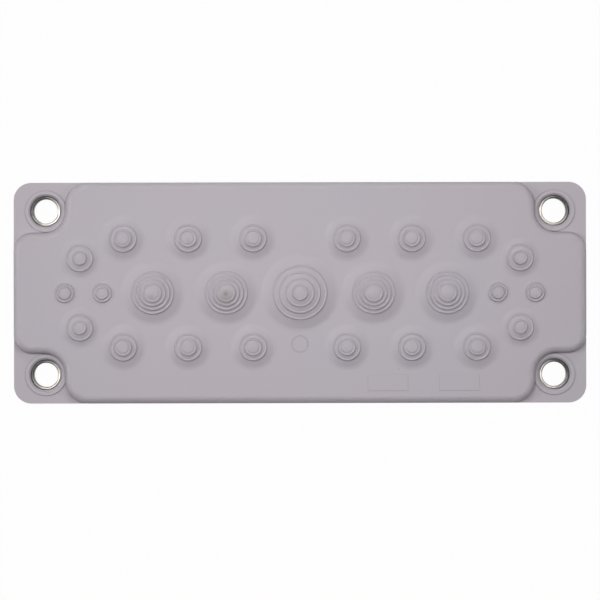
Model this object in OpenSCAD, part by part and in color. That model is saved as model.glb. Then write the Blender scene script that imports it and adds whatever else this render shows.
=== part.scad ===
// Cable entry plate: one moulded elastomer plate with ribbed cone membranes for cables of
// several sizes, and a metal sleeve in each corner lug for the fixing screw.
// It lies on its back: back face on z = 0, membranes up, length along X. Millimetres.

/* [Plate] */
// Length of the plate
plate_l = 245; // [230:0.5:270]
// Width of the plate
plate_w = 94.5; // [88:0.5:110]
// Radius of the plate's outer corners, seen from the front
corner_r = 7.5; // [4:0.5:9]
// Height of the raised body above the back face
body_t = 10; // [9:0.5:14]
// Thickness of the four corner lugs
lug_t = 6; // [4.5:0.25:6.5]
// Radius of the rounding along the body's front edge
edge_r = 3; // [1:0.25:3.25]

/* [Corner lugs] */
// Distance of each fixing hole from the plate's end
hole_inset_x = 13.75; // [12:0.25:16]
// Distance of each fixing hole from the plate's long side
hole_inset_y = 12.25; // [11:0.25:15]
// Radius of the body's inward bend round each fixing hole
notch_r = 9.2; // [8.8:0.1:11]
// How far the bend's centre lies beyond the fixing hole, towards the plate's end
bend_shift = 0.95; // [0:0.05:1.5]
// Radius of the body's outward bends that run into the plate's ends
end_sweep_r = 8; // [5:0.25:10]
// Radius of the body's outward bends that run into the plate's long sides
side_sweep_r = 10; // [5:0.25:11]
// Radius of the raised collar round each sleeve
collar_r = 8.8; // [7.9:0.1:9.4]
// Height of the collar above the lug
collar_h = 0.5; // [0.2:0.1:1]
// Chamfer inside the collar, round the sleeve's mouth
collar_chamfer = 1; // [0.2:0.1:1.2]

/* [Sleeves] */
// Outside diameter of a sleeve
sleeve_od = 12.8; // [12:0.1:14.2]
// Bore of a sleeve, for the fixing screw
sleeve_bore = 10.4; // [8.5:0.1:11]
// Rounding of a sleeve's outer edges, as a share of its wall
outer_lip_share = 0.35; // [0.1:0.05:0.4]
// Rounding of a sleeve's inner edges, as a share of its wall
inner_lip_share = 0.5; // [0.2:0.05:0.55]
// Gap between a sleeve and its seat in the lug
sleeve_clearance = 0.05; // [0.02:0.01:0.15]

/* [Back pocket] */
// Width of the rim that seals against the enclosure
rim_w = 8; // [6:0.5:9]
// Wall between the pocket and the body's inward bends
bend_wall = 3.5; // [2.5:0.25:4]
// Thickness of the web between the pocket and the front
web_t = 3; // [2:0.25:4.5]
// Radius of the pocket's corners
pocket_r = 4; // [2:0.5:8]

/* [All membranes] */
// Slope of the cones
cone_angle = 19; // [12:1:22]
// Radius of the hollow bend where a cone runs out into the body
foot_bend_r = 6; // [3:0.5:9]
// Step up inside each ring, as a share of its bead's radius
ring_step_share = 0.25; // [0:0.05:0.6]
// Wall of the cones, measured upright
membrane_t = 1.2; // [0.8:0.1:1.8]
// Distance of a cone's hollow from its foot, seen from the front
hollow_inset = 1; // [0.5:0.1:1.5]

/* [Centre membrane] */
// Radius of the centre cone at its foot
centre_foot_r = 16; // [14:0.25:17]
// Radius of its outermost ring
centre_ring_r = 11.2; // [10.5:0.1:13]
// Spacing of its four rings
centre_ring_pitch = 2.75; // [2:0.05:2.9]
// Radius of its ring bead
centre_bead_r = 0.55; // [0.4:0.05:0.8]
// Radius of its domed tip
centre_tip_r = 2; // [1.4:0.1:2.2]

/* [Large membranes] */
// Spacing of the large cones along the plate's middle
large_pitch = 31.45; // [31.2:0.05:34]
// Radius of a large cone at its foot
large_foot_r = 13.1; // [11:0.1:14]
// Radius of its outermost ring
large_ring_r = 8.7; // [8.3:0.1:10]
// Spacing of its four rings
large_ring_pitch = 1.7; // [1.4:0.05:1.9]
// Radius of its ring bead
large_bead_r = 0.6; // [0.4:0.05:0.75]
// Radius of its domed tip
large_tip_r = 2.2; // [1.4:0.1:2.8]

/* [Medium membranes] */
// Distance of the first medium cones from the plate's middle, along it
medium_first_x = 20; // [18:0.5:22]
// Spacing of the medium cones along their rows
medium_pitch = 27.75; // [26:0.25:30]
// Distance of each row of medium cones from the plate's middle, across it
medium_row_y = 23.2; // [22:0.2:27]
// Radius of a medium cone at its foot
medium_foot_r = 9.2; // [8:0.1:10]
// Radius of its outer ring
medium_ring_r = 5.45; // [5.2:0.05:6.5]
// Spacing of its two rings
medium_ring_pitch = 2.15; // [1.6:0.05:2.4]
// Radius of its ring bead
medium_bead_r = 0.6; // [0.4:0.05:0.8]
// Radius of its domed tip
medium_tip_r = 1.9; // [1.2:0.1:2.4]

/* [End membranes] */
// Distance of the end cones from the plate's middle, along it
end_x = 94; // [92:0.5:98]
// Distance of the end cones from the plate's middle, across it
end_y = 14.8; // [13:0.2:16]
// Radius of an end cone at its foot
end_foot_r = 8; // [7:0.1:8.6]
// Radius of its outer ring
end_ring_r = 5.3; // [5.1:0.05:6.2]
// Spacing of its two rings
end_ring_pitch = 2.75; // [1.8:0.05:2.9]
// Radius of its ring bead
end_bead_r = 0.6; // [0.4:0.05:0.8]
// Radius of its domed tip
end_tip_r = 1.7; // [1:0.1:1.9]

/* [Small membranes] */
// Distance of the inner small cones from the plate's middle, along it
small_first_x = 84.5; // [83:0.5:88]
// Spacing of the two small cones at each end
small_pitch = 16; // [14:0.5:18]
// Radius of a small cone at its foot
small_foot_r = 4.7; // [4.3:0.1:5.5]
// Radius of its outer ring
small_ring_r = 3.7; // [3.5:0.05:4.2]
// Spacing of its two rings
small_ring_pitch = 1.35; // [1:0.05:1.5]
// Radius of its ring bead
small_bead_r = 0.5; // [0.3:0.05:0.6]
// Radius of its domed tip
small_tip_r = 1.5; // [0.9:0.1:1.7]

/* [Mould marks] */
// Height or depth of the faint marks that mould inserts leave in the front
mark_depth = 0.15; // [0.1:0.05:0.4]
// Length of each of the two bare insert pads
pad_l = 17; // [10:0.5:20]
// Width of each insert pad
pad_w = 7; // [4:0.5:8]
// Distance of the first pad's middle from the plate's middle, along it
pad_first_x = 37.5; // [30:0.5:42]
// Spacing of the two pads
pad_pitch = 30.5; // [26:0.5:36]
// Distance of the pads from the plate's middle, across it
pad_y = 38.4; // [37:0.2:39]
// Outside radius of the round insert mark below the centre cone
round_mark_r = 3.7; // [3:0.1:4]
// Width of the round mark's groove
round_mark_w = 0.5; // [0.3:0.1:0.8]
// Distance of the round mark from the plate's middle, across it
round_mark_y = 22; // [21:0.2:25]
// Outside radius of the groove that the moulding gate leaves on one large cone's tip
gate_r = 1.2; // [0.8:0.1:1.6]
// Radius of the pip inside the gate's groove
gate_pip_r = 0.5; // [0.3:0.05:0.7]

/* [Hidden] */
$fn = 96;

// How far a cutting shape reaches past the surface that it cuts
spill = 1;
// How far the cones reach into the web, so that they fuse with it
cone_root = 0.5;
// Rise of a tip's dome, as a share of the tip's radius
dome_rise = 0.08;
// How far a foot's bend dips into what it joins, so that the two surfaces cross
bend_dip = 0.005;

half_l = plate_l / 2;
half_w = plate_w / 2;
hole_x = half_l - hole_inset_x;
hole_y = half_w - hole_inset_y;
bend_x = hole_x + bend_shift;
bend_inset_x = hole_inset_x - bend_shift;
seat_r = sleeve_od / 2 + sleeve_clearance;
pocket_top = body_t - web_t;

// The sizes of each kind of cone: foot, outermost ring, spacing and count of rings, bead, tip
centre_cone = [centre_foot_r, centre_ring_r, centre_ring_pitch, 4, centre_bead_r, centre_tip_r];
large_cone = [large_foot_r, large_ring_r, large_ring_pitch, 4, large_bead_r, large_tip_r];
medium_cone = [medium_foot_r, medium_ring_r, medium_ring_pitch, 2, medium_bead_r, medium_tip_r];
end_cone = [end_foot_r, end_ring_r, end_ring_pitch, 2, end_bead_r, end_tip_r];
small_cone = [small_foot_r, small_ring_r, small_ring_pitch, 2, small_bead_r, small_tip_r];

// Every cone's kind and its place on the front
cones = [
    [centre_cone, [0, 0]],
    for (side = [-1, 1], i = [1, 2]) [large_cone, [side * i * large_pitch, 0]],
    for (side = [-1, 1], row = [-1, 1], i = [0 : 2])
        [medium_cone, [side * (medium_first_x + i * medium_pitch), row * medium_row_y]],
    for (side = [-1, 1], row = [-1, 1]) [end_cone, [side * end_x, row * end_y]],
    for (side = [-1, 1], i = [0, 1]) [small_cone, [side * (small_first_x + i * small_pitch), 0]]
];

// Height of a cone's slope above the body, at a distance from its axis and inside some of its rings
function slope_z(cone, r, rings) = (cone[0] - r) * tan(cone_angle) + rings * ring_step_share * cone[4];

// Radius of one of a cone's rings, counted inwards from 0
function ring_r(cone, i) = cone[1] - i * cone[2];

// Height of a cone's domed tip above its slope, and above the body
function dome_h(cone) = dome_rise * cone[5];
function tip_z(cone) = slope_z(cone, cone[5], cone[3]) + dome_h(cone);

// Repeats its children, drawn for the rear right corner, in all four corners
module at_corners() {
    for (x = [0, 1], y = [0, 1]) mirror([x, 0, 0]) mirror([0, y, 0]) children();
}

module rounded_rectangle(length, width, r) {
    square([length - 2 * r, width], center = true);
    square([length, width - 2 * r], center = true);
    for (x = [-1, 1], y = [-1, 1])
        translate([x * (length / 2 - r), y * (width / 2 - r)]) circle(r);
}

// What the rear right corner takes off the body: the lug's room round its sleeve, with outward
// bends that run into the plate's end and long side
module notch_outline() {
    translate([bend_x, hole_y]) {
        circle(notch_r);
        translate([0, -notch_r]) square([bend_inset_x + spill, notch_r + hole_inset_y + spill]);
        translate([-notch_r, 0]) square([notch_r + bend_inset_x + spill, hole_inset_y + spill]);
        translate([bend_inset_x - end_sweep_r, -notch_r - end_sweep_r]) difference() {
            square([end_sweep_r + spill, end_sweep_r]);
            circle(end_sweep_r);
        }
        translate([-notch_r - side_sweep_r, hole_inset_y - side_sweep_r]) difference() {
            square([side_sweep_r, side_sweep_r + spill]);
            circle(side_sweep_r);
        }
    }
}

// Waste outside a rounded edge: the sharp edge is at the origin, outwards is +X, up is +Y
module edge_waste(r) {
    translate([-r, -r]) difference() {
        square(r + spill);
        circle(r);
    }
}

// The same waste along a straight edge that runs along X, with +Y outwards
module straight_edge(length) {
    rotate([90, 0, 90]) linear_extrude(length, center = true) edge_waste(edge_r);
}

// Waste along the whole front edge of the body: its straight runs and the bends at each lug
module front_edge_waste() {
    long_run = 2 * (bend_x - notch_r - side_sweep_r);
    end_run = 2 * (hole_y - notch_r - end_sweep_r);
    for (a = [0, 180]) rotate(a) {
        translate([0, half_w]) straight_edge(long_run);
        rotate(90) translate([0, half_l]) straight_edge(end_run);
    }
    at_corners() {
        translate([bend_x - notch_r - side_sweep_r, half_w - side_sweep_r])
            rotate_extrude(angle = 90) translate([side_sweep_r, 0]) edge_waste(edge_r);
        translate([bend_x - notch_r, (half_w - side_sweep_r + hole_y) / 2])
            rotate(-90) straight_edge(hole_inset_y - side_sweep_r);
        translate([bend_x, hole_y]) rotate(180)
            rotate_extrude(angle = 90) translate([notch_r, 0]) mirror([1, 0]) edge_waste(edge_r);
        translate([(half_l - end_sweep_r + bend_x) / 2, hole_y - notch_r])
            straight_edge(bend_inset_x - end_sweep_r);
        translate([half_l - end_sweep_r, hole_y - notch_r - end_sweep_r])
            rotate_extrude(angle = 90) translate([end_sweep_r, 0]) edge_waste(edge_r);
    }
}

// The solid block of the plate: a raised body with its front edge rounded, and four lower lugs
module plate_block() {
    difference() {
        linear_extrude(body_t) rounded_rectangle(plate_l, plate_w, corner_r);
        at_corners() translate([0, 0, lug_t]) linear_extrude(body_t) notch_outline();
        translate([0, 0, body_t]) front_edge_waste();
    }
}

// Half section of a cone: a stepped slope, a round bead on each step and a shallow dome on the tip
module cone_section(cone) {
    foot_r = cone[0];
    tip_r = cone[5];
    root_r = foot_r + cone_root / tan(cone_angle);
    dome_foot = tip_z(cone) - dome_h(cone);
    dome_r = (tip_r * tip_r + dome_h(cone) * dome_h(cone)) / (2 * dome_h(cone));
    steps = [for (i = [0 : cone[3] - 1], n = [i, i + 1]) [ring_r(cone, i), slope_z(cone, ring_r(cone, i), n)]];
    polygon(concat([[0, -cone_root], [root_r, -cone_root]], steps, [[tip_r, dome_foot], [0, dome_foot]]));
    foot_bend_section(foot_r);
    intersection() {
        translate([0, tip_z(cone) - dome_r]) circle(dome_r);
        translate([0, dome_foot - cone_root]) square([tip_r, cone_root + dome_h(cone) + spill]);
    }
    // A bead sinks into the slope outside it just far enough that its outer side ends upright
    for (i = [0 : cone[3] - 1])
        translate([ring_r(cone, i), slope_z(cone, ring_r(cone, i), i) - cone[4] * tan(cone_angle)])
            circle(cone[4]);
}

// Half section of the hollow bend between the body's front and a cone's slope
module foot_bend_section(foot_r) {
    reach = foot_bend_r * tan(cone_angle / 2);
    inner_r = foot_r - reach * cos(cone_angle);
    difference() {
        polygon([[inner_r, -cone_root], [foot_r + reach, -cone_root], [foot_r + reach, 0],
                 [inner_r, reach * sin(cone_angle)]]);
        translate([foot_r + reach, foot_bend_r - bend_dip]) circle(foot_bend_r);
    }
}

// Half section of the hollow under a cone, from inside the pocket up to the membrane
module hollow_section(cone) {
    mouth_r = cone[0] - hollow_inset;
    tip_r = cone[5];
    ceiling = tip_z(cone) - dome_h(cone) - membrane_t;
    polygon([[0, -web_t - spill], [mouth_r, -web_t - spill],
             [mouth_r, slope_z(cone, mouth_r, 0) - membrane_t],
             [cone[1], slope_z(cone, cone[1], 0) - membrane_t], [tip_r, ceiling], [0, ceiling]]);
}

// The hollow in the back, inside the sealing rim and clear of the lugs
module pocket_outline() {
    bend = notch_r + bend_wall;
    rounded_rectangle(plate_l - 2 * rim_w, 2 * (hole_y - bend), pocket_r);
    rounded_rectangle(2 * (bend_x - bend), plate_w - 2 * rim_w, pocket_r);
}

// A collar round a sleeve, standing on its lug
module collar() {
    translate([0, 0, lug_t - spill]) cylinder(h = collar_h + spill, r = collar_r);
}

// The through seat of a sleeve, with a chamfer at the collar
module sleeve_seat() {
    mouth_z = lug_t + collar_h;
    translate([0, 0, -spill]) cylinder(h = mouth_z + 2 * spill, r = seat_r);
    translate([0, 0, mouth_z - collar_chamfer])
        cylinder(h = collar_chamfer + spill, r1 = seat_r, r2 = seat_r + collar_chamfer + spill);
}

// Faint raised pads that the mould's inserts leave, bare
module insert_pads() {
    for (i = [0, 1])
        translate([pad_first_x + i * pad_pitch, -pad_y, body_t - spill])
            linear_extrude(mark_depth + spill) square([pad_l, pad_w], center = true);
}

// A round groove, down from a height, that a round mould insert leaves
module round_groove(outer_r, inner_r) {
    translate([0, 0, -mark_depth]) linear_extrude(mark_depth + spill) difference() {
        circle(outer_r);
        circle(inner_r);
    }
}

module entry_plate() {
    color([0.71, 0.69, 0.71]) difference() {
        union() {
            plate_block();
            insert_pads();
            at_corners() translate([hole_x, hole_y, 0]) collar();
            for (c = cones) translate([c[1].x, c[1].y, body_t]) rotate_extrude() cone_section(c[0]);
        }
        translate([0, 0, -spill]) linear_extrude(pocket_top + spill) pocket_outline();
        for (c = cones) translate([c[1].x, c[1].y, body_t]) rotate_extrude() hollow_section(c[0]);
        at_corners() translate([hole_x, hole_y, 0]) sleeve_seat();
        translate([0, -round_mark_y, body_t]) round_groove(round_mark_r, round_mark_r - round_mark_w);
        translate([-large_pitch, 0, body_t + tip_z(large_cone)]) round_groove(gate_r, gate_pip_r);
    }
}

// Half section of a sleeve's wall, with its edges rounded at both ends
module sleeve_section() {
    wall = (sleeve_od - sleeve_bore) / 2;
    difference() {
        translate([sleeve_bore / 2, 0]) square([wall, lug_t]);
        for (end = [0, 1]) translate([0, end * lug_t]) mirror([0, 1 - end]) {
            translate([sleeve_od / 2, 0]) edge_waste(outer_lip_share * wall);
            translate([sleeve_bore / 2, 0]) mirror([1, 0]) edge_waste(inner_lip_share * wall);
        }
    }
}

// The sleeve of one corner: left is -X, front is -Y
module sleeve(side_x, side_y) {
    color("silver") translate([side_x * hole_x, side_y * hole_y, 0]) rotate_extrude() sleeve_section();
}

entry_plate();
sleeve(-1, -1);  // sleeve_front_left
sleeve(1, -1);  // sleeve_front_right
sleeve(-1, 1);  // sleeve_rear_left
sleeve(1, 1);  // sleeve_rear_right
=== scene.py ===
"""Dresses the cable entry plate and sets it in a plain studio, seen from straight above.

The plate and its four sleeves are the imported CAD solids. This script gives them their materials, a
pale floor, soft light and a camera. Sizes are in metres unless a name ends in _mm.
"""

from __future__ import annotations

import logging
import math
from dataclasses import dataclass, field
from enum import Enum, IntEnum
from typing import Any

import bpy
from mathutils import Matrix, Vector


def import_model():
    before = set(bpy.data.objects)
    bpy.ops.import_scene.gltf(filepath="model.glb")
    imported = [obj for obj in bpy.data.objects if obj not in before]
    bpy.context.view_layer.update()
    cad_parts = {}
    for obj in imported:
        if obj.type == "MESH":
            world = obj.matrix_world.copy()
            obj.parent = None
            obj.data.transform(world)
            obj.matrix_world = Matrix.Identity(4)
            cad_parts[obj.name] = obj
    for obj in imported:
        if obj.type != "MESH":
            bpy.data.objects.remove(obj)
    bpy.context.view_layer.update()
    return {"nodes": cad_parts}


LOG = logging.getLogger("cable_entry_plate")
MM = 0.001
Socket = bpy.types.NodeSocket
Tree = bpy.types.NodeTree


class Ray(Enum):
    """The kinds of ray that see the studio's white, by the Light Path output that marks them."""

    CAMERA = "Is Camera Ray"
    GLOSSY = "Is Glossy Ray"
    TRANSMISSION = "Is Transmission Ray"


class MixIn(IntEnum):
    """The Mix node's inputs by number, because several share a name."""

    FACTOR = 0
    A_VALUE = 2
    B_VALUE = 3
    A_COLOUR = 6
    B_COLOUR = 7


class MixOut(IntEnum):
    """The Mix node's outputs by number."""

    VALUE = 0
    COLOUR = 2


def linear(hex_colour: str) -> tuple[float, float, float, float]:
    """Turns an sRGB hex colour into the linear colour that shaders take.

    Args:
        hex_colour: Six hex digits after a hash sign.

    Returns:
        Red, green and blue as linear values, and an alpha of 1.
    """
    parts = [int(hex_colour[i : i + 2], 16) / 255 for i in (1, 3, 5)]
    red, green, blue = (c / 12.92 if c <= 0.04045 else ((c + 0.055) / 1.055) ** 2.4 for c in parts)
    return red, green, blue, 1.0


def per_metre(size_mm: float) -> float:
    """Returns the texture scale at which one feature is about size_mm across."""
    return 1 / (size_mm * MM)


def add_node(
    tree: Tree, kind: str, inputs: dict[str | int, Any] | None = None, **settings: Any
) -> bpy.types.Node:
    """Adds a shader node.

    Args:
        tree: Node tree that gets the node.
        kind: The node's class, without the leading "ShaderNode".
        inputs: What goes into each input, by its name or number: another node's output or a constant.
        settings: The node's own attributes.

    Returns:
        The new node.
    """
    node = tree.nodes.new("ShaderNode" + kind)
    for name, value in settings.items():
        setattr(node, name, value)
    for name, value in (inputs or {}).items():
        if isinstance(value, Socket):
            tree.links.new(value, node.inputs[name])
        else:
            node.inputs[name].default_value = value
    return node


def add_up(tree: Tree, parts: list[Socket]) -> Socket:
    """Adds values up.

    Args:
        tree: Node tree that gets the nodes.
        parts: One or more sockets.

    Returns:
        A socket with their sum.
    """
    total = parts[0]
    for part in parts[1:]:
        total = add_node(tree, "Math", {0: total, 1: part}, operation="ADD").outputs[0]
    return total


def blend(tree: Tree, share: Socket, first: Any, second: Any) -> Socket:
    """Blends two colours.

    Args:
        tree: Node tree that gets the node.
        share: How much of the second colour there is, from 0 to 1.
        first: The first colour, as a socket or a constant.
        second: The second colour, as a socket or a constant.

    Returns:
        A colour socket.
    """
    colours = {MixIn.FACTOR: share, MixIn.A_COLOUR: first, MixIn.B_COLOUR: second}
    return add_node(tree, "Mix", colours, data_type="RGBA").outputs[MixOut.COLOUR]


def spread_over(tree: Tree, share: Socket, ends: tuple[float, float]) -> Socket:
    """Spreads a value that runs from 0 to 1 over another range.

    Args:
        tree: Node tree that gets the node.
        share: The value.
        ends: What 0 and 1 become.

    Returns:
        A socket with the new value.
    """
    low, high = ends
    return add_node(tree, "MapRange", {"Value": share, "To Min": low, "To Max": high}).outputs["Result"]


def plan_distance(tree: Tree, plan: Socket, x_mm: float, y_mm: float) -> Socket:
    """Measures how far a plan point is from a fixed one.

    Args:
        tree: Node tree that gets the node.
        plan: The plan point, in metres.
        x_mm: The fixed point's place along the plate.
        y_mm: The fixed point's place across the plate.

    Returns:
        A socket with the distance, in metres.
    """
    fixed = (x_mm * MM, y_mm * MM, 0.0)
    return add_node(tree, "VectorMath", {0: plan, 1: fixed}, operation="DISTANCE").outputs["Value"]


def empty_material(name: str) -> tuple[bpy.types.Material, Tree]:
    """Makes a node material with no nodes in it.

    Args:
        name: The material's name.

    Returns:
        The material and its empty node tree.
    """
    material = bpy.data.materials.new(name)
    material.use_nodes = True
    material.node_tree.nodes.clear()
    return material, material.node_tree


def dress(piece: bpy.types.Object, material: bpy.types.Material) -> None:
    """Gives a piece one material in place of those that it has."""
    piece.data.materials.clear()
    piece.data.materials.append(material)


@dataclass(frozen=True)
class Place:
    """Where a shaded point lies in the plate's frame: the point, its plan and its height."""

    point: Socket
    flat: Socket
    height: Socket

    @classmethod
    def on(cls, tree: Tree) -> Place:
        """Adds the nodes that find the point.

        Args:
            tree: Node tree that gets the nodes.

        Returns:
            The point's sockets.
        """
        point = add_node(tree, "TexCoord").outputs["Object"]
        flat = add_node(tree, "VectorMath", {0: point, 1: (1.0, 1.0, 0.0)}, operation="MULTIPLY")
        height = add_node(tree, "SeparateXYZ", {0: point}).outputs["Z"]
        return cls(point, flat.outputs[0], height)


@dataclass(frozen=True)
class FixingHoles:
    """The four fixing holes, each with a painted shade side, away from the middle and up the plate."""

    half_x_mm: float = 108.75
    half_y_mm: float = 35.0
    mouth_mm: float = 7.6
    lean: tuple[float, float] = (0.8, 0.6)
    reach_mm: float = 4.8

    def from_axis(self, tree: Tree, place: Place) -> Socket:
        """Measures from the nearest hole's axis: outwards along the plate, and up the plate.

        Args:
            tree: Node tree that gets the nodes.
            place: The shaded point.

        Returns:
            A vector socket, in metres.
        """
        plan = add_node(tree, "SeparateXYZ", {0: place.flat}).outputs
        half = add_node(tree, "Math", {0: plan["X"]}, operation="ABSOLUTE").outputs[0]
        past = {0: half, 1: self.half_x_mm * MM}
        outwards = add_node(tree, "Math", past, operation="SUBTRACT").outputs[0]
        side = add_node(tree, "Math", {0: plan["Y"]}, operation="SIGN").outputs[0]
        shift = {0: side, 1: -self.half_y_mm * MM, 2: plan["Y"]}
        upwards = add_node(tree, "Math", shift, operation="MULTIPLY_ADD").outputs[0]
        return add_node(tree, "CombineXYZ", {0: outwards, 1: upwards}).outputs[0]

    def painted_shade_side(self, tree: Tree, axis: Socket) -> Socket:
        """Finds how far round a hole's painted shade side a point is.

        Args:
            tree: Node tree that gets the nodes.
            axis: What from_axis returns.

        Returns:
            A socket that runs from 0 on the painted bright side to 1 on the painted shade side.
        """
        lean = add_node(tree, "VectorMath", {0: axis, 1: (*self.lean, 0.0)}, operation="DOT_PRODUCT")
        reach = self.reach_mm * MM
        ramp = {"Value": lean.outputs["Value"], "From Min": -reach, "From Max": reach}
        return add_node(tree, "MapRange", ramp).outputs["Result"]

    def in_mouth(self, tree: Tree, axis: Socket) -> Socket:
        """Marks the mouths of the holes.

        Args:
            tree: Node tree that gets the nodes.
            axis: What from_axis returns.

        Returns:
            A socket that is 1 in a mouth and 0 elsewhere.
        """
        radius = add_node(tree, "VectorMath", {0: axis}, operation="LENGTH").outputs["Value"]
        return add_node(tree, "Math", {0: radius, 1: self.mouth_mm * MM}, operation="LESS_THAN").outputs[0]


@dataclass(frozen=True)
class Smudge:
    """A round patch of handling dirt on the plate's front, strongest in its middle."""

    x_mm: float
    y_mm: float
    radius_mm: float
    strength: float


@dataclass(frozen=True)
class RingedCone:
    """The rings of the cones at one distance from both middle planes, from the outermost inwards.

    crest_mm is how high each ring's shading is drawn above its bead.
    """

    x_mm: float
    y_mm: float
    ring_mm: float
    pitch_mm: float
    count: int
    crest_mm: float


@dataclass(frozen=True)
class MouldedElastomer:
    """Light grey thermoplastic elastomer, injection moulded in an eroded steel mould.

    Such a mould leaves a dead matt skin: no clear highlight, a broad soft sheen, a very fine grain,
    edges a little rounded, and slow drifts of tint where the melt flowed. It picks up handling dirt.
    Its grooves and one side of each hole mouth are painted darker as shade, where an occlusion test
    finds them hemmed in, so each ring shows as a thin darker line.
    """

    name: str = "moulded_tpe_light_grey"
    tint: str = "#B9B0B6"
    cool_tint: str = "#B4AFB8"
    drift_mm: float = 45.0
    roughness: tuple[float, float] = (0.47, 0.57)
    ior: float = 1.5
    grain_mm: float = 0.5
    grain_depth_mm: float = 0.006
    edge_mm: float = 0.12
    edge_samples: int = 6
    dirt_tint: str = "#84837B"
    cloud_mm: float = 2.5
    cloud_range: tuple[float, float] = (0.5, 1.3)
    # Colour of the painted shade in the grooves and hole mouths
    groove_shade_tint: str = "#5C575C"
    groove_mm: float = 0.5
    groove_open: tuple[float, float] = (0.4, 0.86)
    groove_samples: int = 12
    mouth_share: float = 2.0
    front_mm: float = 10.0
    front_band_mm: float = 0.25
    front_shade_share: float = 0.45
    crest_half_mm: float = 0.65
    smudges: tuple[Smudge, ...] = (
        Smudge(-31.7, -2.4, 5.5, 0.4),
        Smudge(-31.6, -0.3, 1.3, 0.75),
        Smudge(-63.3, -1.8, 1.8, 0.4),
        Smudge(-47.6, 21.9, 1.8, 0.35),
        Smudge(42.0, -32.7, 0.5, 0.7),
        Smudge(30.2, 6.0, 0.6, 0.4),
        Smudge(59.6, 8.0, 0.6, 0.4),
        Smudge(43.5, 15.8, 1.2, 0.2),
    )
    cones: tuple[RingedCone, ...] = (
        RingedCone(0.0, 0.0, 11.2, 2.75, 4, 0.13),
        RingedCone(31.45, 0.0, 8.7, 1.7, 4, 0.11),
        RingedCone(62.9, 0.0, 8.7, 1.7, 4, 0.11),
        RingedCone(20.0, 23.2, 5.45, 2.15, 2, 0.15),
        RingedCone(47.75, 23.2, 5.45, 2.15, 2, 0.15),
        RingedCone(75.5, 23.2, 5.45, 2.15, 2, 0.15),
        # The edge round the tip of each medium cone
        RingedCone(20.0, 23.2, 2.15, 1.4, 1, 0.1),
        RingedCone(47.75, 23.2, 2.15, 1.4, 1, 0.1),
        RingedCone(75.5, 23.2, 2.15, 1.4, 1, 0.1),
        RingedCone(94.0, 14.8, 5.3, 2.75, 2, 0.14),
        RingedCone(84.5, 0.0, 3.7, 1.35, 2, 0.19),
        RingedCone(100.5, 0.0, 3.7, 1.35, 2, 0.19),
    )
    holes: FixingHoles = field(default_factory=FixingHoles)

    def dirt(self, tree: Tree, place: Place) -> Socket:
        """Adds up the smudges, each broken up by noise.

        Args:
            tree: Node tree that gets the nodes.
            place: The shaded point.

        Returns:
            A socket that gives how dirty the point is, from 0 to 1.
        """
        spots = []
        for spot in self.smudges:
            gap = plan_distance(tree, place.flat, spot.x_mm, spot.y_mm)
            fade = {"Value": gap, "From Max": spot.radius_mm * MM, "To Min": spot.strength, "To Max": 0.0}
            shade = add_node(tree, "MapRange", fade, interpolation_type="SMOOTHSTEP")
            spots.append(shade.outputs["Result"])
        grain = {"Vector": place.flat, "Scale": per_metre(self.cloud_mm), "Detail": 3.0}
        cloud = add_node(tree, "TexNoise", grain).outputs["Fac"]
        both = {0: add_up(tree, spots), 1: spread_over(tree, cloud, self.cloud_range)}
        return add_node(tree, "Math", both, operation="MULTIPLY", use_clamp=True).outputs[0]

    def relief(self, tree: Tree, place: Place) -> Socket:
        """Draws a crest on each ring of the front, which sharpens the shading of its bead.

        Args:
            tree: Node tree that gets the nodes.
            place: The shaded point.

        Returns:
            A socket that gives the relief's height, in millimetres.
        """
        quarter = add_node(tree, "VectorMath", {0: place.flat}, operation="ABSOLUTE").outputs[0]
        crests = []
        half_width = self.crest_half_mm * MM
        for cone in self.cones:
            outermost = cone.ring_mm * MM
            half_pitch = cone.pitch_mm * MM / 2
            half_band = cone.count * half_pitch
            gap = plan_distance(tree, quarter, cone.x_mm, cone.y_mm)
            inwards = add_node(tree, "Math", {0: gap, 1: outermost}, operation="SUBTRACT").outputs[0]
            to_ring = add_node(tree, "Math", {0: inwards, 1: half_pitch}, operation="PINGPONG").outputs[0]
            rise = {"Value": to_ring, "From Max": half_width, "To Min": cone.crest_mm, "To Max": 0.0}
            crest = add_node(tree, "MapRange", rise, interpolation_type="SMOOTHSTEP").outputs["Result"]
            band = {0: gap, 1: outermost + half_pitch - half_band, 2: half_band}
            inside = add_node(tree, "Math", band, operation="COMPARE").outputs[0]
            crests.append(add_node(tree, "Math", {0: crest, 1: inside}, operation="MULTIPLY").outputs[0])
        limit = {0: place.height, 1: self.front_mm * MM}
        above = add_node(tree, "Math", limit, operation="GREATER_THAN").outputs[0]
        return add_node(tree, "Math", {0: add_up(tree, crests), 1: above}, operation="MULTIPLY").outputs[0]

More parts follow.
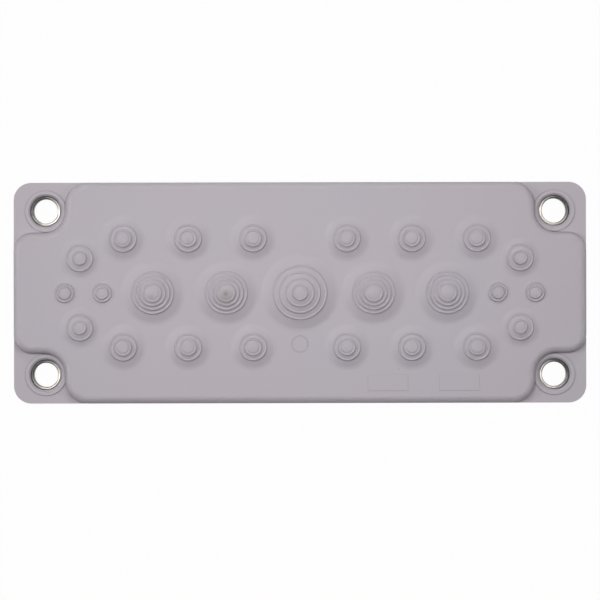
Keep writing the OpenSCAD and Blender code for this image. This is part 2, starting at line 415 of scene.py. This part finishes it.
    def painted_groove_shade(self, tree: Tree, place: Place) -> Socket:
        """Paints shade in the grooves, where the space within groove_mm is hemmed in.

        In the mouth of a fixing hole the painted shade lies on the painted shade side only, and on the
        flat front it is weaker.

        Args:
            tree: Node tree that gets the nodes.
            place: The shaded point.

        Returns:
            A socket that gives how much painted shade lies there, from 0 to 1.
        """
        # Painted shade: an occlusion test darkens the grooves and creases
        around = {"Distance": self.groove_mm * MM}
        space = add_node(tree, "AmbientOcclusion", around, samples=self.groove_samples).outputs["AO"]
        shut, wide = self.groove_open
        ramp = {"Value": space, "From Min": shut, "From Max": wide, "To Min": 1.0, "To Max": 0.0}
        groove_shade = add_node(tree, "MapRange", ramp).outputs["Result"]
        axis = self.holes.from_axis(tree, place)
        dark = spread_over(tree, self.holes.painted_shade_side(tree, axis), (0.0, self.mouth_share))
        mouth = {MixIn.FACTOR: self.holes.in_mouth(tree, axis), MixIn.A_VALUE: 1.0, MixIn.B_VALUE: dark}
        mouth_shade = add_node(tree, "Mix", mouth, data_type="FLOAT").outputs[MixOut.VALUE]
        band = {0: place.height, 1: self.front_mm * MM, 2: self.front_band_mm * MM}
        front = add_node(tree, "Math", band, operation="COMPARE").outputs[0]
        front_shade = spread_over(tree, front, (1.0, self.front_shade_share))
        share = add_node(tree, "Math", {0: mouth_shade, 1: front_shade}, operation="MULTIPLY").outputs[0]
        both = {0: groove_shade, 1: share}
        return add_node(tree, "Math", both, operation="MULTIPLY", use_clamp=True).outputs[0]

    def colour(self, tree: Tree, place: Place) -> Socket:
        """Mixes the skin's drifting tint with the dirt on it and the painted shade in its grooves.

        Args:
            tree: Node tree that gets the nodes.
            place: The shaded point.

        Returns:
            A colour socket.
        """
        flow = {"Vector": place.point, "Scale": per_metre(self.drift_mm), "Detail": 3.0, "Roughness": 0.5}
        drift = add_node(tree, "TexNoise", flow).outputs["Fac"]
        skin = blend(tree, drift, linear(self.tint), linear(self.cool_tint))
        handled = blend(tree, self.dirt(tree, place), skin, linear(self.dirt_tint))
        # Painted shade goes over the dirt, in the groove shade tint
        return blend(tree, self.painted_groove_shade(tree, place), handled, linear(self.groove_shade_tint))

    def material(self) -> bpy.types.Material:
        """Builds the material.

        Returns:
            The elastomer's material.
        """
        material, tree = empty_material(self.name)
        place = Place.on(tree)
        # The eroded grain is about 0.1 mm. It is drawn at grain_mm so that it still shows.
        pits = {"Vector": place.point, "Scale": per_metre(self.grain_mm), "Detail": 2.0, "Roughness": 0.6}
        grain = add_node(tree, "TexNoise", pits).outputs["Fac"]
        around = {"Radius": self.edge_mm * MM}
        edges = add_node(tree, "Bevel", around, samples=self.edge_samples).outputs["Normal"]
        crests = {"Strength": 1.0, "Distance": MM, "Height": self.relief(tree, place), "Normal": edges}
        rings = add_node(tree, "Bump", crests).outputs["Normal"]
        skin = {"Strength": 1.0, "Distance": self.grain_depth_mm * MM, "Height": grain, "Normal": rings}
        bump = add_node(tree, "Bump", skin).outputs["Normal"]
        rough = spread_over(tree, grain, self.roughness)
        colour = self.colour(tree, place)
        finish = {"Base Color": colour, "Roughness": rough, "IOR": self.ior, "Normal": bump}
        shader = add_node(tree, "BsdfPrincipled", finish)
        add_node(tree, "OutputMaterial", {"Surface": shader.outputs["BSDF"]})
        return material


@dataclass(frozen=True)
class PlatedSteel:
    """Bright zinc plated steel, turned on a lathe.

    Each sleeve is painted as a bright reflection on the side that faces the plate's middle, and
    painted dark as shade and reflected dark surroundings on the side away from it, broken up by faint
    random patches.
    """

    name: str = "turned_steel_zinc_plated"
    tint: str = "#C2BFB8"
    # Colour of the painted shade and dark reflection on the far side
    far_side_shade_tint: str = "#52514F"
    roughness: tuple[float, float] = (0.24, 0.38)
    patch_mm: float = 3.0
    patch_play: float = 0.25
    holes: FixingHoles = field(default_factory=FixingHoles)

    def material(self) -> bpy.types.Material:
        """Builds the material.

        Returns:
            The sleeves' material.
        """
        material, tree = empty_material(self.name)
        place = Place.on(tree)
        film = {"Vector": place.point, "Scale": per_metre(self.patch_mm), "Detail": 3.0}
        patches = add_node(tree, "TexNoise", film).outputs["Fac"]
        # Painted reflection and shade: bright towards the plate's middle, dark on the far side
        painted_shade_side = self.holes.painted_shade_side(tree, self.holes.from_axis(tree, place))
        uneven = spread_over(tree, patches, (-self.patch_play, self.patch_play))
        shade_and_patches = add_node(tree, "Math", {0: painted_shade_side, 1: uneven}, operation="ADD", use_clamp=True).outputs[0]
        body = blend(tree, shade_and_patches, linear(self.tint), linear(self.far_side_shade_tint))
        rough = spread_over(tree, patches, self.roughness)
        shader = add_node(tree, "BsdfPrincipled", {"Metallic": 1.0, "Base Color": body, "Roughness": rough})
        add_node(tree, "OutputMaterial", {"Surface": shader.outputs["BSDF"]})
        return material


@dataclass(frozen=True)
class Softbox:
    """A flat lamp that faces the plate, in a narrow beam that is strongest at its aim.

    share is about how much of the light on the plate's flat front it gives.
    """

    name: str
    azimuth_deg: float
    tilt_deg: float
    distance: float
    size: float
    share: float
    spread_deg: float = 40.0
    aim: tuple[float, float, float] = (-0.005, 0.024, 0.01)

    def hang(self) -> None:
        """Hangs the lamp in its place."""
        tilt, azimuth = math.radians(self.tilt_deg), math.radians(self.azimuth_deg)
        flat = Vector((math.cos(azimuth), math.sin(azimuth), 0.0))
        out = flat * math.sin(tilt) + Vector((0.0, 0.0, math.cos(tilt)))
        lamp = bpy.data.lights.new(self.name, "AREA")
        lamp.shape = "SQUARE"
        lamp.size = self.size
        half = math.radians(self.spread_deg) / 2
        lamp.spread = 2 * half
        # A lamp with a narrow spread sends the same power into a narrow beam, so it needs less of it
        gain = math.tan(half) / (math.tan(half) - half)
        lamp.energy = self.share * math.pi**2 * self.distance**2 / (math.cos(tilt) * gain)
        holder = bpy.data.objects.new(self.name, lamp)
        holder.location = Vector(self.aim) + out * self.distance
        holder.rotation_euler = out.to_track_quat("Z", "Y").to_euler()
        bpy.context.scene.collection.objects.link(holder)


@dataclass
class EntryPlate:
    """The moulded plate, one CAD solid with its membranes."""

    node: str = "entry_plate"
    finish: MouldedElastomer = field(default_factory=MouldedElastomer)

    def build(self, nodes: dict[str, bpy.types.Object]) -> list[bpy.types.Object]:
        """Dresses the plate.

        Args:
            nodes: The CAD nodes by name.

        Returns:
            The plate's piece.
        """
        plate = nodes[self.node]
        dress(plate, self.finish.material())
        return [plate]


@dataclass
class Sleeves:
    """The four metal sleeves in the corner lugs."""

    nodes: tuple[str, ...] = (
        "sleeve_front_left",
        "sleeve_front_right",
        "sleeve_rear_left",
        "sleeve_rear_right",
    )
    finish: PlatedSteel = field(default_factory=PlatedSteel)

    def build(self, nodes: dict[str, bpy.types.Object]) -> list[bpy.types.Object]:
        """Dresses the sleeves.

        Args:
            nodes: The CAD nodes by name.

        Returns:
            The sleeves' pieces.
        """
        material = self.finish.material()
        pieces = [nodes[name] for name in self.nodes]
        for piece in pieces:
            dress(piece, material)
        return pieces


@dataclass
class Studio:
    """Pale floor, softboxes over the plate, a white cove round a dim room, and the camera above."""

    floor_half: float = 4.0
    floor_drop: float = 0.0001
    floor_tint: str = "#B4B4B4"
    fibre_tint: str = "#B0B0B0"
    fibre_mm: float = 2.0
    floor_white: float = 0.98
    room_level: float = 0.05
    cove_from: float = 0.1
    cove_to: float = 0.3
    softboxes: tuple[Softbox, ...] = (
        Softbox("overhead_softbox", 90.0, 0.0, 2.0, 0.4, 0.217),
        Softbox("upper_left_softbox", 135.0, 30.0, 1.4, 0.3, 0.201),
        Softbox("upper_right_softbox", 45.0, 30.0, 1.4, 0.3, 0.178),
        Softbox("left_softbox", 180.0, 30.0, 1.4, 0.3, 0.151),
        Softbox("low_left_softbox", 180.0, 58.0, 1.4, 0.3, 0.166),
        Softbox("low_right_softbox", 0.0, 58.0, 1.4, 0.3, 0.126),
        Softbox("low_top_softbox", 90.0, 58.0, 1.4, 0.3, 0.107),
    )
    camera_distance: float = 1.4
    view_width: float = 0.2567
    view_plane: float = 0.007
    view_centre: tuple[float, float] = (0.0, -0.00313)
    roll_deg: float = -0.12
    sensor_mm: float = 36.0

    def seen_white(self, tree: Tree) -> Socket:
        """Marks the rays that see the studio as white.

        Args:
            tree: Node tree of the floor or the world.

        Returns:
            A socket that is 1 for camera, glossy and transmission rays and 0 for all others.
        """
        path = add_node(tree, "LightPath").outputs
        found = path[Ray.CAMERA.value]
        for ray in (Ray.GLOSSY, Ray.TRANSMISSION):
            found = add_node(tree, "Math", {0: found, 1: path[ray.value]}, operation="MAXIMUM").outputs[0]
        return found

    def floor_material(self) -> bpy.types.Material:
        """Builds matt white studio paper that the camera sees as white, with a faint shadow.

        Returns:
            The floor's material.
        """
        material, tree = empty_material("matt_studio_paper")
        white_share = {0: self.seen_white(tree), 1: self.floor_white}
        share = add_node(tree, "Math", white_share, operation="MULTIPLY").outputs[0]
        place = add_node(tree, "TexCoord").outputs["Object"]
        pulp = {"Vector": place, "Scale": per_metre(self.fibre_mm)}
        fibre = add_node(tree, "TexNoise", pulp).outputs["Fac"]
        tone = blend(tree, fibre, linear(self.floor_tint), linear(self.fibre_tint))
        paper = add_node(tree, "BsdfDiffuse", {"Color": tone}).outputs[0]
        white = add_node(tree, "Emission", {"Strength": 1.0}).outputs[0]
        both = add_node(tree, "MixShader", {0: share, 1: paper, 2: white}).outputs[0]
        add_node(tree, "OutputMaterial", {"Surface": both})
        return material

    def lay_floor(self) -> None:
        """Lays the floor just under the plate's back."""
        half = self.floor_half
        mesh = bpy.data.meshes.new("studio_floor")
        square = ((-half, -half), (half, -half), (half, half), (-half, half))
        mesh.from_pydata([(x, y, -self.floor_drop) for x, y in square], [], [(0, 1, 2, 3)])
        floor = bpy.data.objects.new("studio_floor", mesh)
        bpy.context.scene.collection.objects.link(floor)
        dress(floor, self.floor_material())

    def light(self) -> None:
        """Hangs the softboxes in a dim room, with a white cove that the camera and metal see."""
        for box in self.softboxes:
            box.hang()
        world = bpy.data.worlds.new("studio_room")
        world.use_nodes = True
        tree = world.node_tree
        tree.nodes.clear()
        way = add_node(tree, "TexCoord").outputs["Generated"]
        up = add_node(tree, "SeparateXYZ", {0: way}).outputs["Z"]
        fade = {
            "Value": up,
            "From Min": self.cove_from,
            "From Max": self.cove_to,
            "To Min": 1.0,
            "To Max": self.room_level,
        }
        cove = add_node(tree, "MapRange", fade, interpolation_type="SMOOTHSTEP").outputs["Result"]
        seen = {MixIn.FACTOR: self.seen_white(tree), MixIn.A_VALUE: self.room_level, MixIn.B_VALUE: cove}
        level = add_node(tree, "Mix", seen, data_type="FLOAT").outputs[MixOut.VALUE]
        room = add_node(tree, "Background", {"Strength": level}).outputs[0]
        add_node(tree, "OutputWorld", {"Surface": room})
        bpy.context.scene.world = world

    def set_camera(self) -> None:
        """Sets the camera above the plate, with the photograph's framing."""
        data = bpy.data.cameras.new("camera")
        data.sensor_width = self.sensor_mm
        data.lens = self.sensor_mm * self.camera_distance / self.view_width
        data.clip_start, data.clip_end = 0.01, 100.0
        camera = bpy.data.objects.new("camera", data)
        camera.location = (*self.view_centre, self.view_plane + self.camera_distance)
        camera.rotation_euler = (0.0, 0.0, math.radians(self.roll_deg))
        bpy.context.scene.collection.objects.link(camera)
        bpy.context.scene.camera = camera

    def build(self) -> None:
        """Sets up the floor, the light and the camera."""
        self.lay_floor()
        self.light()
        self.set_camera()
        bpy.context.scene.view_settings.view_transform = "Standard"


def main() -> None:
    """Loads the frame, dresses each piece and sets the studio."""
    logging.basicConfig(level=logging.INFO, format="%(name)s: %(message)s")
    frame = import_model()
    for assembly in (EntryPlate(), Sleeves()):
        for piece in assembly.build(frame["nodes"]):
            LOG.info("%s dressed in %s", piece.name, piece.data.materials[0].name)
    Studio().build()


if __name__ == "__main__":
    main()
